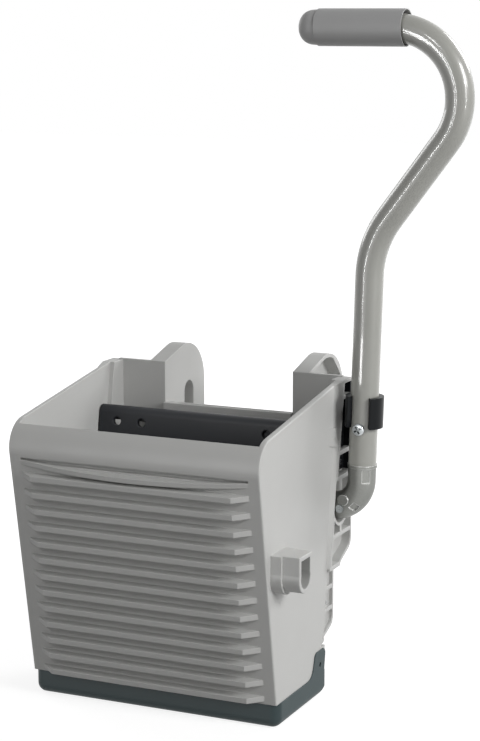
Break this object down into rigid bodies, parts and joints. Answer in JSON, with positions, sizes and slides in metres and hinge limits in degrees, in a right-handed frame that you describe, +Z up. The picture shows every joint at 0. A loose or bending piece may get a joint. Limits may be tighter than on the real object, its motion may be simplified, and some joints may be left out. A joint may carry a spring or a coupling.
{
  "type": "mop wringer",
  "caption": "Down-press mop wringer: a finned hopper on a drain tray, whose side lever turns a cross shaft and swings a perforated pressure plate.",
  "frame": {"origin": "on the floor, under the middle of the drain tray", "axes": "+X to the handle side, +Y to the rear, +Z up"},
  "size_m": [0.4028, 0.3177, 0.677],
  "materials": {
    "shell_plastic": "light grey moulded plastic, fine matt grain",
    "tray_plastic": "dark green-grey moulded plastic, satin",
    "plate_plastic": "black moulded plastic, satin",
    "clip_plastic": "black moulded plastic, slightly shiny",
    "bearing_plastic": "natural off-white bearing plastic",
    "tube_paint": "glossy grey powder coat on steel tube",
    "grip_vinyl": "matt grey dipped vinyl",
    "elbow_casting": "dull silver die casting",
    "zinc_steel": "bright zinc-plated steel"
  },
  "bodies": {
    "housing": {"base_tray": "tray_plastic", "tray_screws": "zinc_steel", "front_shell": "shell_plastic", "shell_screws": "zinc_steel", "rear_frame": "shell_plastic", "hinge_pin": "zinc_steel", "shaft_bush_left": "bearing_plastic", "shaft_bush_right": "bearing_plastic", "handle_clip": "clip_plastic", "clip_screws": "zinc_steel", "thrust_washer_right": "bearing_plastic", "thrust_washer_left": "bearing_plastic"},
    "lever": {"drive_shaft": "zinc_steel", "retaining_ring": "zinc_steel", "crank_left": "elbow_casting", "crank_right": "elbow_casting", "crank_pins": "zinc_steel", "roller_pin_left": "zinc_steel", "roller_pin_right": "zinc_steel", "elbow": "elbow_casting", "elbow_pin": "zinc_steel", "handle_tube": "tube_paint", "tube_screw": "zinc_steel", "handle_grip": "grip_vinyl"},
    "plate": {"pressure_plate": "plate_plastic", "cam_track_left": "plate_plastic", "cam_track_right": "plate_plastic", "track_screws": "zinc_steel"},
    "roller_left": {"roller_left": "bearing_plastic"},
    "roller_right": {"roller_right": "bearing_plastic"}
  },
  "joints": [
    {"name": "handle", "type": "hinge", "parent": "housing", "child": "lever", "pos_m": [0, 0.088, 0.187], "axis": [1, 0, 0], "range_deg": [0, 88], "deforming": ["handle_clip"]},
    {"name": "plate_swing", "type": "hinge", "parent": "housing", "child": "plate", "pos_m": [0, 0.0425, 0.034], "axis": [1, 0, 0], "range_deg": [0, 22]},
    {"name": "roller_left_spin", "type": "hinge", "parent": "lever", "child": "roller_left", "pos_m": [-0.0585, 0.09705, 0.25137], "axis": [1, 0, 0], "continuous": true},
    {"name": "roller_right_spin", "type": "hinge", "parent": "lever", "child": "roller_right", "pos_m": [0.0585, 0.09705, 0.25137], "axis": [1, 0, 0], "continuous": true}
  ],
  "couplings": [
    {"joint": "plate_swing", "follows": "handle", "ratio": 0.25}
  ]
}
